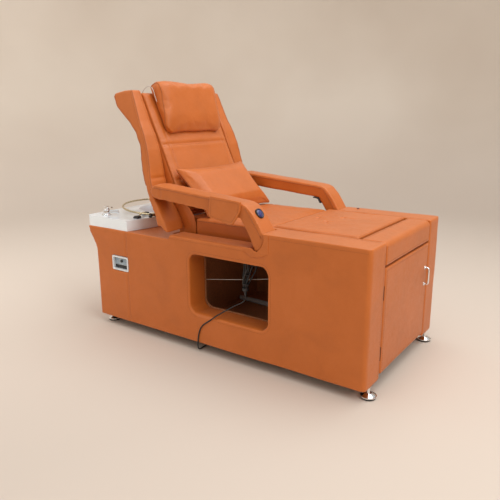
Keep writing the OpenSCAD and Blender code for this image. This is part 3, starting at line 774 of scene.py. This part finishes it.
def base_skin():
    """One leather skin over the whole base, with the vertical crease and the soft lip of the pockets."""
    nodes = ["near_side_panel", "far_side_panel", "window_reveal", "rear_panel", "front_posts",
             "side_rails", "foot_borders", "rear_deck"]
    ob = skin("base_leather", cad_solids(nodes), 6.0, 4)
    co = points_of(ob)
    push(ob, field(co, 380, 3) * 0.8 + field(co, 120, 4) * 0.25)
    groove(ob, [[(-503, y, 512), (-505, y, 330), (-503, y, 60)] for y in (-BASE_Y, BASE_Y)], 1.6, 5.0, 0.5)
    groove(ob, [[(300, y, 512), (262, y, 503), (214, y, 512)] for y in (-BASE_Y, BASE_Y)], 1.4, 9.0, 1.2)
    return place(ob, "base", LEATHER, "leather", *nodes)


base = base_skin()

WINDOW_CORNERS = ((287, 422, 0), (-55, 422, 90), (-55, 224, 180), (287, 224, 270))
WINDOW_SEAM_R = 54


def base_seams():
    """Stitches round the window and along the edges of the base."""
    lip = []
    for cx, cz, start in WINDOW_CORNERS:
        for k in range(7):
            a = math.radians(start + 15 * k)
            lip.append((cx + WINDOW_SEAM_R * math.cos(a), -BASE_Y, cz + WINDOW_SEAM_R * math.sin(a)))
    seam_row("window_seam", "base", base, lip, True)
    for side, word in SIDES:
        y = side * BASE_Y
        seam_row(f"{word}_top_seam", "base", base, [(330, y, 583), (752, y, 583)])
        seam_row(f"{word}_rail_seam", "base", base, [(-262, y, 516), (205, y, 516)])
    for word, y in (("near", -266), ("far", 278)):
        seam_row(f"{word}_border_seam", "base", base, [(330, y, 602), (745, y, 602)])
    seam_row("post_seam", "base", base, [(768, -268, 560), (768, -268, 60)])
    seam_row("crease_seam_a", "base", base, [(-495, -BASE_Y, 500), (-497, -BASE_Y, 330), (-495, -BASE_Y, 60)])


base_seams()


def pad(name, body, nodes, voxel, rounds, wave, cap=0, solids=None, before=None, after=None, seed=5):
    """A padded leather piece for some CAD nodes. cap is how far the cloth simulation may swell it."""
    ob = skin(name, solids or cad_solids(nodes), voxel, rounds)
    if before:
        before(ob)
    if cap:
        inflate(ob, cap)
        subdivide(ob)
    co = points_of(ob)
    push(ob, field(co, 150, seed) * wave + field(co, 50, seed + 1) * wave * 0.22)
    if after:
        after(ob)
    place(ob, body, LEATHER, "leather", *nodes)
    return ob


TUFTS = ((407, -50, 0.3), (430, 78, 1.0), (335, 12, 0.6))
TUFT_RAYS, TUFT_RAY = (0, 1.2, 2.7, 4.1, 5.2), 62
LID_TOP = 602


def lid_detail(ob):
    """Three tufts, each with creases that run out from it."""
    dimples(ob, [(x, y, LID_TOP) for x, y, _ in TUFTS], 5.5, 15)
    rays = [[(x, y, LID_TOP), (x + TUFT_RAY * math.cos(turn + a), y + TUFT_RAY * math.sin(turn + a), LID_TOP)]
            for x, y, turn in TUFTS for a in TUFT_RAYS]
    groove(ob, rays, 1.1, 6, 0.6)


lid = pad("lid_leather", "tub_lid", ["tub_lid"], 5.0, 4, 0.7, after=lid_detail,
          cap=5, solids=[prism([(254, -246), (650, -246), (650, 257), (254, 257)], 571, 600, "xy")])
seam_row("lid_seam", "tub_lid", lid, [(265, -235, 601), (641, -235, 601), (641, 246, 601), (265, 246, 601)], True)

FLAP_TOP = [(742 + 24 * math.cos(math.radians(a)), 576 + 24 * math.sin(math.radians(a)))
            for a in range(90, -1, -15)]
flap = pad("flap_leather", "front_flap", ["front_flap"], 4.0, 4, 0.5, seed=8,
           solids=[prism([(662, 573), (662, 600)] + FLAP_TOP + [(766, 512), (762, 508), (740, 508), (738, 573)],
                         -247, 259)])
seam_row("flap_seam", "front_flap", flap, [(767, -236, 580), (767, -236, 520), (767, 248, 520), (767, 248, 580)])
seam_row("flap_top_seam", "front_flap", flap, [(672, -236, 601), (672, 248, 601)])
door = pad("door_leather", "service_door", ["service_door"], 5.0, 4, 0.6, seed=11,
           solids=[prism([(744, -246), (752, -249), (760, -248), (765, -244), (766, -238), (766, 259), (744, 259)],
                         64, 500, "xy")])
seam_row("door_seam", "service_door", door,
         [(767, -232, 488), (767, 248, 488), (767, 248, 76), (767, -232, 76)], True)


def seat_detail(ob):
    groove(ob, [[(-60, -276, 598), (-60, 276, 598)]], 2.2, 8, 0.8)
    groove(ob, [[(246, -276, 530), (-150, -276, 530)]], 1.6, 7)


seat = pad("seat_leather", "base", ["seat_cushion"], 8.0, 4, 0.9, cap=6, seed=14, after=seat_detail,
           solids=[prism([(-226, -237), (-150, -237), (-150, -280), (244, -280), (244, 280), (-150, 280),
                          (-150, 237), (-226, 237)], 512, 594, "xy")])
for side, word in SIDES:
    piping(f"seat_piping_{word}", "base", seat, [(-148, side * 280, 586), (240, side * 280, 586)])


def centre_detail(ob):
    """Two seams across the back and one along each edge."""
    groove(ob, [[back_point(4, 355, y) for y in (-262, 262)]], 3.2, 7, 1.0)
    groove(ob, [[back_point(4, 175, y) for y in (-262, 262)]], 2.4, 8, 0.8)
    groove(ob, [[back_point(4, 30, s * 205), back_point(4, 620, s * 205)] for s in (-1, 1)], 1.8, 6, 0.6)


PAD_BACK = [(-40, 14), (-20, 12), (-20, 632), (-40, 632)]
PAD_FRONT = [(-26, 14), (-6, 12), (-2, 22), (-2, 616), (-12, 630), (-26, 630)]
centre = pad("back_leather", "backrest", ["centre_pad"], 7.0, 4, 0.9, cap=6, seed=17,
             after=centre_detail,
             solids=[prism(back_outline(PAD_BACK), -240, 240), prism(back_outline(PAD_FRONT), -257, 257)])
for side, word in SIDES:
    seam_row(f"{word}_pad_seam", "backrest", centre,
             [back_point(4, 40, side * 197), back_point(4, 345, side * 197)])
    seam_row(f"{word}_pad_seam_top", "backrest", centre,
             [back_point(4, 365, side * 197), back_point(4, 618, side * 197)])
seam_row("pad_cross_seam", "backrest", centre, [back_point(4, 347, -250), back_point(4, 347, 250)])

WING_EDGE = [(-481, 1172), (-423, 1031), (-391, 970), (-366, 903), (-350, 830), (-341, 776), (-329, 735),
             (-323, 706)]
WING_REAR = [(-596, 1158), (-583, 1105), (-544, 1069), (-491, 1029), (-448, 985), (-414, 923), (-402, 860),
             (-391, 805), (-369, 742)]


def wing(side, word):
    """A side wing of the back, with a welt along its outer edges and a fold above the arm."""
    def outline(edge):
        return [(x, side * (WING_Y - (z - BACK_Z) * WING_TAPER), z) for x, z in edge]

    def detail(ob):
        groove(ob, [[(-336, side * 384, 774), (-372, side * 384, 764), (-420, side * 384, 770)]], 2.0, 6, 1.0)
        groove(ob, [[(-338, side * y, 776) for y in (262, 384)]], 1.8, 6, 0.8)

    ob = pad(f"{word}_wing_leather", "backrest", [f"{word}_wing"], 5.5, 5, 0.8, seed=20 + side, after=detail)
    outer = outline(WING_EDGE)
    piping(f"{word}_wing_piping", "backrest", ob, outer, 2.6)
    seam_row(f"{word}_wing_seam", "backrest", ob, [(x - 11, y * 1.01, z - 3) for x, y, z in outer])
    seam_row(f"{word}_wing_inner_seam", "backrest", ob, [(x + 4, side * 275, z) for x, z in WING_EDGE])
    piping(f"{word}_wing_rear_piping", "backrest", ob, outline(WING_REAR), 2.4)


for side, word in SIDES:
    wing(side, word)
cover = pad("rear_cover_leather", "backrest", ["rear_cover"], 6.0, 4, 0.8, seed=26,
            solids=cad_solids(["rear_cover"]) + [prism(
                back_outline(((-90, 150), (-77, 150), (-77, 600), (-90, 600))), -257, 257)])
seam_row("cover_seam", "backrest", cover,
         [back_point(-93, 60, -235), back_point(-93, 610, -235), back_point(-93, 610, 235), back_point(-93, 60, 235)],
         True)


def pillow_shape(ob):
    """Round corners, a little longer at the bottom, and thinner towards both ends."""
    round_corners(ob, (-math.sin(LEAN), 0, math.cos(LEAN)), 52)
    co = points_of(ob)
    low = np.clip((1.110 - co[:, 2]) / 0.11, 0, 1)
    co = co + (low * 0.011)[:, None] * np.array([math.sin(LEAN), 0, -math.cos(LEAN)])
    edge = np.clip((np.abs(co[:, 1]) - 0.150) / 0.064, 0, 1) ** 2
    centre = np.array([-0.432, 0, 1.110])
    normal = np.array([math.cos(LEAN), 0, math.sin(LEAN)])
    ahead = (co - centre) @ normal
    set_points(ob, co - (ahead * edge * 0.34)[:, None] * normal)


pillow = pad("head_pillow_leather", "head_pillow", ["head_pillow"], 7.0, 5, 0.9, cap=9, seed=29,
             before=pillow_shape)
for side, word in SIDES:
    rim = [(-384, 985), (-379, 1060), (-398, 1180), (-420, 1216), (-468, 1216), (-484, 1190)]
    piping(f"{word}_pillow_piping", "head_pillow", pillow, [(x, side * 208, z) for x, z in rim], 2.2, rounds=6)


def lumbar_shape(ob):
    """The sides pull in between the corners."""
    co = points_of(ob)
    centre = np.array([-0.183, 0, 0.709])
    up = np.array([-0.682, 0, 0.731])
    v = (co - centre) @ up
    y = co[:, 1]
    new_v = v * (1 - 0.075 * (1 - np.clip(y / 0.258, -1, 1) ** 2))
    moved = co + (new_v - v)[:, None] * up
    moved[:, 1] = y * (1 - 0.05 * (1 - np.clip(v / 0.146, -1, 1) ** 2))
    set_points(ob, moved)


lumbar = pad("lumbar_pillow_leather", "lumbar_pillow", ["lumbar_pillow"], 6.0, 3, 0.9, cap=8, seed=32,
             before=lumbar_shape)


def lumbar_rim():
    """The welt's line round the lumbar pillow."""
    out = []
    for k in range(72):
        t = 4 * k / 72
        edge, f = int(t), (t % 1) * 2 - 1
        y, v = ((258 * f, 146), (258, -146 * f), (-258 * f, -146), (-258, 146 * f))[edge]
        y *= 1 - 0.05 * (1 - (v / 146) ** 2)
        v *= 1 - 0.075 * (1 - (y / 258) ** 2)
        out.append((-183 - 0.682 * v, y, 709 + 0.731 * v))
    return out


piping("lumbar_piping", "lumbar_pillow", lumbar, lumbar_rim(), 2.2, True, rounds=1)

ARM_OUTLINE = [
    (-290, 750), (-200, 743.2), (-60, 731.5), (80, 720), (160, 713.2), (196, 709), (220, 699), (236, 684),
    (253, 666), (277, 632), (302, 592), (305, 574), (298, 552), (287, 534), (274, 521), (264, 519),
    (256, 527), (247, 548), (230, 583), (186, 651), (120, 656), (-60, 671), (-293, 690),
    (-309, 696), (-319, 708), (-321, 722), (-316, 738), (-304, 747)]
ARM_TOP = [(-300, 738), (-200, 733), (-60, 721), (80, 710), (165, 703), (196, 698), (214, 689), (228, 673),
           (262, 622), (290, 580)]


def arm(side, word):
    """One cover over the arm and its post, shaped with a bend where they meet."""
    ob = skin(f"{word}_arm_leather", [prism(ARM_OUTLINE, *across(side, ARM_IN_Y, ARM_OUT_Y))], 4.5, 4)
    co = points_of(ob)
    offset = (np.abs(co[:, 1]) / MM - ARM_Y) / 48
    crown = np.clip(1 - offset ** 2, 0, 1) * np.clip((1.0 - (co[:, 0] - 0.17) / 0.04), 0, 1)
    n = normals_of(ob)
    push(ob, crown * np.clip(n[:, 2], 0, 1) * 3.5 + field(co, 130, 41 + side) * 0.5 + field(co, 40, 43) * 0.12)
    groove(ob, [[(-262, side * y, z) for y, z in ((383, 700), (383, 745), (336, 752), (289, 745))],
                [(206, side * 383, 690), (190, side * 383, 655)]], 1.3, 5, 0.8)
    ob.data.materials.append(LEATHER)
    for edge, y in (("outer", 383), ("inner", 290)):
        for part, lo, hi in (("arm", 0, 5), ("post", 6, 9)):
            line = [(x, side * y, z) for x, z in ARM_TOP[lo:hi + 1]]
            piping(f"{word}_arm_seam_{edge}_{part}", f"{word}_{part}", ob, line, 1.9)
    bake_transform(ob)
    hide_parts(f"{word}_arm_pad", f"{word}_post_pad")
    if side > 0:
        plate(f"{word}_bend_bracket", [(154, 652), (154, 647), (180, 643), (194, 621), (199, 624), (186, 650)],
              across(side, 287.5, 340), 1.0, f"{word}_arm", STEEL, "frame_steel")


for side, word in SIDES:
    arm(side, word)


# Leather-covered boards beside the recline hinge, fixed to the base.
SHROUD = [(-262, 506), (-156, 506), (-158, 566), (-170, 606), (-196, 638), (-236, 658), (-262, 648)]
for side, word in SIDES:
    plate(f"{word}_hinge_shroud", SHROUD, across(side, 260.6, 262.2), 0.6, "base", LEATHER, "leather")

# The soft edge at the foot of the back, which closes the gap behind the seat.
FOOT_ROLL = [(-230, 606), (-248, 587), (-262, 587), (-262, 600), (-240, 612)]
roll = skin("back_foot_roll", [prism(FOOT_ROLL, -238, 238)], 3.0, 3)
place(roll, "backrest", LEATHER, "leather")

# The leather sides of the back, between the centre pad and its side wings.
BACK_SIDE = back_outline(((-70, 14), (-10, 12), (-7, 22), (-7, 600), (-30, 612), (-70, 612)))
for side, word in SIDES:
    plate(f"{word}_back_side", BACK_SIDE, across(side, 258.6, 260.2), 0.6, "backrest", LEATHER, "leather")

POCKET_FOLD = [(206, 520), (206, 533), (246, 534), (262, 524), (276, 523), (290, 537), (302, 556), (307, 576),
               (304, 592), (300, 599), (330, 600), (330, 520), (290, 500), (250, 496)]


def pocket_cover(side, word):
    """A soft leather fold that closes the pocket of an arm post on the outside."""
    ob = skin(f"{word}_pocket_fold", [prism(POCKET_FOLD, *across(side, 385.2, 391.6))], 2.2, 3)
    co = points_of(ob)
    soft = np.exp(-(((co[:, 0] - 0.275) / 0.045) ** 2 + ((co[:, 2] - 0.515) / 0.018) ** 2))
    co[:, 1] += side * soft * 0.0022
    set_points(ob, co)
    place(ob, "base", LEATHER, "leather")


for side, word in SIDES:
    pocket_cover(side, word)


def pouch():
    """The loose leather flap that hangs outside the near arm."""
    poly = [(36, 731), (120, 725), (197, 718), (192, 676), (164, 624), (144, 619), (100, 629), (60, 637),
            (38, 641), (33, 676)]
    ob = skin("pouch_leather", [prism(poly, -393.0, -384.6)], 2.4, 4)
    co = points_of(ob)
    drop = np.clip((0.724 - co[:, 2]) / 0.1, 0, 1)
    co[:, 1] -= 0.011 * drop ** 1.3 + 0.004 * np.sin(drop * math.pi) * np.sin(co[:, 0] * 26)
    set_points(ob, co)
    push(ob, field(points_of(ob), 45, 61) * 0.5)
    place(ob, "near_arm", LEATHER, "leather", "arm_pouch")
    seam_row("pouch_seam", "near_arm", ob,
             [(46, -410, 722), (120, -410, 716), (186, -410, 708), (181, -410, 676), (156, -410, 634),
              (104, -410, 639), (46, -410, 650)], True, 6.0)


pouch()


# ---------- knob, handle, basin and other details ----------

def turning(name, profile, centre, sides, body, mat, slot, *nodes, axis=None):
    """A turned piece at a place, about z or about another axis."""
    ob = lathe(name, profile, (0, 0, 0) if axis else centre, sides)
    if axis:
        turn = Vector(axis).to_track_quat("Z", "X").to_matrix().to_4x4()
        ob.data.transform(Matrix.Translation(Vector(centre) * MM) @ turn)
    place(ob, body, mat, slot, *nodes)


KNOB_C, KNOB_N = (251.8, -ARM_Y, 669.6), (0.8385, 0, 0.5449)
turning("knob_rim", [(0, -7), (22.6, -7), (22.6, 1.6), (21.6, 3.6), (20.0, 4.2), (18.4, 3.6), (17.6, 2.0), (0, 1.8)],
        KNOB_C, 64, "arm_knob", KNOB_RIM, "knob_blue", "arm_knob", axis=KNOB_N)
turning("knob_dial", [(0, 1.6), (17.2, 1.6), (17.0, 2.6), (15.0, 3.8), (10.0, 4.8), (4.0, 5.3), (0, 5.4)],
        KNOB_C, 64, "arm_knob", KNOB, "knob_blue", axis=KNOB_N)

HANDLE_X, HANDLE_Y, HANDLE_Z = (766, 776, 786), 222, (316, 392)
HANDLE_BEND, HANDLE_R, HANDLE_FOOT_R = 10, 4.4, (8.5, 8.0)


def handle():
    """The D-shaped door handle, a bent rod on two round feet."""
    door_x, bend_x, front_x = HANDLE_X
    low, high = HANDLE_Z
    foot = [door_x, door_x + 3, door_x + 3.5, bend_x]
    turns = [math.radians(15 * k) for k in range(7)]
    points = [(x, low) for x in foot]
    points += [(bend_x + HANDLE_BEND * math.sin(a), low + HANDLE_BEND * (1 - math.cos(a))) for a in turns]
    points += [(front_x, z) for z in (340, 354, 368)]
    points += [(bend_x + HANDLE_BEND * math.cos(a), high - HANDLE_BEND * (1 - math.sin(a))) for a in turns]
    points += [(x, high) for x in reversed(foot)]
    path = [Vector((x, HANDLE_Y, z)) for x, z in points]
    radii = [*HANDLE_FOOT_R] + [HANDLE_R] * (len(path) - 4) + [*reversed(HANDLE_FOOT_R)]
    place(tube("handle_bow", path, radii, 20), "service_door", CHROME, "chrome", "door_handle")


handle()

TAP, BOWL = (-700, -330, 0), (-604, 0, 0)
turning("bowl_strainer", [(0, 423), (21, 423), (21, 426), (27, 426.5), (28, 428), (24, 429.5), (18, 428.5),
                          (12, 427), (0, 427)], BOWL, 48, "base", CHROME, "chrome")
turning("tap_flange", [(0, 564.2), (24, 564.2), (24, 566), (21, 569), (18, 570), (0, 570)],
        TAP, 48, "base", CHROME, "chrome")
turning("tap_collar", [(0, 588), (17.6, 588), (18.4, 589.5), (18.4, 592), (17.6, 593.6), (0, 593.6)],
        TAP, 48, "base", CHROME, "chrome")
plate("panel_display", [(-600, 333), (-600, 368), (-598, 370), (-509, 370), (-507, 368), (-507, 333)],
      (-377, -374.4), 0.8, "base", SCREEN, "panel_silver")
plate("panel_tray", [(-600, 316), (-600, 328), (-598, 330), (-509, 330), (-507, 328), (-507, 316)],
      (-379, -374.4), 0.8, "base", PLASTIC, "black_plastic")

# Two clips and a short hose on the basin's rim, beside the spray ring.
for i, (x, y) in enumerate(((-500, -306), (-548, -204))):
    plate(f"hose_clip_{i}", [(x - 18, 561.5), (x - 18, 570), (x - 12, 576), (x + 8, 576), (x + 13, 571),
                             (x + 13, 561.5)], (y - 13, y + 13), 1.6, "base", PLASTIC, "black_plastic")
FEED = [(-556, -198, 571), (-544, -222, 576), (-524, -258, 577), (-508, -290, 574), (-500, -306, 569)]
feed = tube("ring_feed", smooth_line(spline([Vector(p) for p in FEED], 8), 3), 4.0, 12)
place(feed, "base", BRASS, "brass_ring")
turning("border_cap", [(0, 598), (6.5, 598), (6.5, 602), (5.2, 604.4), (2.5, 605.6), (0, 605.8)],
        (374, 356, 0), 32, "base", RED, "black_plastic")


def elastic(side, word):
    """The flat elastic that holds the head pillow, round the top corner of the back."""
    y = side * 222
    line = [(-424, y - side * 8, 1120), (-430, y - side * 2, 1150), (-440, y, 1186), (-462, y + side * 1, 1196),
            (-492, y + side * 1, 1184), (-516, y, 1158), (-508, y - side * 4, 1128)]
    ob = tube(f"{word}_elastic", smooth_line(dense(line, 6), 8), 1.6, 8)
    place(ob, "head_pillow", ELASTIC, "panel_silver")


for side, word in SIDES:
    elastic(side, word)

# A thin wire fixed at both ends inside the window, and the strands of the cable bundle.
WIRE = [(-94, -272, 311), (-30, -271, 322), (40, -270, 333), (110, -269, 345),
        (180, -268, 358), (240, -268, 370), (300, -270, 379), (328, -272, 382)]
place(tube("window_wire", spline([Vector(p) for p in WIRE], 8), 1.3, 8), "base", ELASTIC, "panel_silver")
BUNDLE = [[(176, -306, 456), (178, -308, 420), (171, -315, 380), (168, -320, 350), (167, -320, 330)],
          [(190, -300, 456), (188, -304, 416), (176, -312, 376), (171, -317, 348), (169, -319, 330)],
          [(162, -312, 456), (166, -316, 418), (164, -322, 382), (164, -323, 352), (165, -322, 330)],
          [(204, -310, 456), (196, -314, 424), (184, -320, 386), (174, -323, 352), (170, -322, 330)],
          [(150, -304, 456), (154, -312, 410), (158, -326, 372), (161, -326, 346), (163, -323, 330)],
          [(214, -300, 456), (206, -298, 412), (186, -304, 372), (176, -312, 346), (170, -317, 330)],
          [(182, -316, 456), (186, -330, 424), (170, -334, 384), (160, -331, 352), (164, -325, 330)]]
for i, points in enumerate(BUNDLE):
    strand = tube(f"cable_{i}", smooth_line(spline([Vector(p) for p in points], 7), 4), 3.6, 10)
    place(strand, "base", CABLE, "black_cable", *(["cable_bundle"] if i == 0 else []))
for z in (350, 392):
    turning(f"cable_tie_{z}", [(0, -2), (15, -2), (15.8, -1), (15.8, 1), (15, 2), (0, 2)],
            (169 + (z - 350) * 0.16, -320 + (z - 350) * 0.1, z), 32, "base", PLASTIC, "black_plastic")


# ---------- stage ----------

def backdrop():
    """A pale studio bowl: flat floor, then a soft sweep up to a round wall. Its colour gets lighter with height:
    painted shade on the floor, painted light up the wall.
    """
    profile = [(0.0, 0.0), (1.0, 0.0), (2.0, 0.0), (3.0, 0.0), (3.8, 0.0)]
    for k in range(1, 17):
        a = math.pi / 2 * k / 16
        profile.append((3.8 + 2.2 * math.sin(a), 2.2 * (1 - math.cos(a))))
    profile += [(6.0, 2.8), (6.0, 3.6)]
    ob = mesh_object("backdrop", *revolve(profile, 96))
    mat, tree, bsdf = new_material("backdrop")
    coord = tree.nodes.new("ShaderNodeTexCoord").outputs["Object"]
    cloud = noise(tree, coord, 0.5, 3, 0.5)
    wall = ramp(tree, cloud, [(0.3, (0.70, 0.61, 0.52)), (0.7, (0.80, 0.72, 0.63))])
    # Colour lighter with height: painted shade on the floor, painted light up the wall.
    split = tree.nodes.new("ShaderNodeSeparateXYZ")
    tree.links.new(coord, split.inputs[0])
    height = to_range(tree, split.outputs["Z"], 0.0, 1.0, -0.05, 1.2)
    tree.links.new(mix(tree, height, (0.66, 0.575, 0.50), wall), bsdf.inputs["Base Color"])
    bsdf.inputs["Roughness"].default_value = 0.85
    bsdf.inputs["Specular IOR Level"].default_value = 0.15
    ob.data.materials.append(mat)


backdrop()


def area(name, location, target, size, power, colour):
    """A soft light that points at a target."""
    data = bpy.data.lights.new(name, "AREA")
    data.shape = "RECTANGLE"
    data.size, data.size_y = size
    data.energy = power
    data.color = colour
    ob = bpy.data.objects.new(name, data)
    SCENE.collection.objects.link(ob)
    ob.location = location
    ob.rotation_mode = "QUATERNION"
    ob.rotation_quaternion = (Vector(target) - Vector(location)).to_track_quat("-Z", "Y")


area("top", (0.9, 0.5, 3.3), (0.1, 0.0, 0.4), (2.6, 2.6), 60, (1.0, 0.99, 0.97))
area("key", (3.2, -1.3, 2.5), (0.2, 0.0, 0.4), (1.8, 1.8), 44, (1.0, 0.98, 0.95))
area("fill", (-1.0, -3.6, 1.7), (0.0, 0.0, 0.4), (2.4, 1.6), 13, (1.0, 0.96, 0.92))
area("wall", (-1.6, -1.6, 2.9), (-5.4, 0.2, 0.9), (2.6, 1.8), 60, (1.0, 0.98, 0.95))

world = bpy.data.worlds.new("world")
world.use_nodes = True
world.node_tree.nodes["Background"].inputs["Color"].default_value = (1.0, 0.985, 0.965, 1)
world.node_tree.nodes["Background"].inputs["Strength"].default_value = 0.68
SCENE.world = world
SCENE.view_settings.view_transform = "Standard"
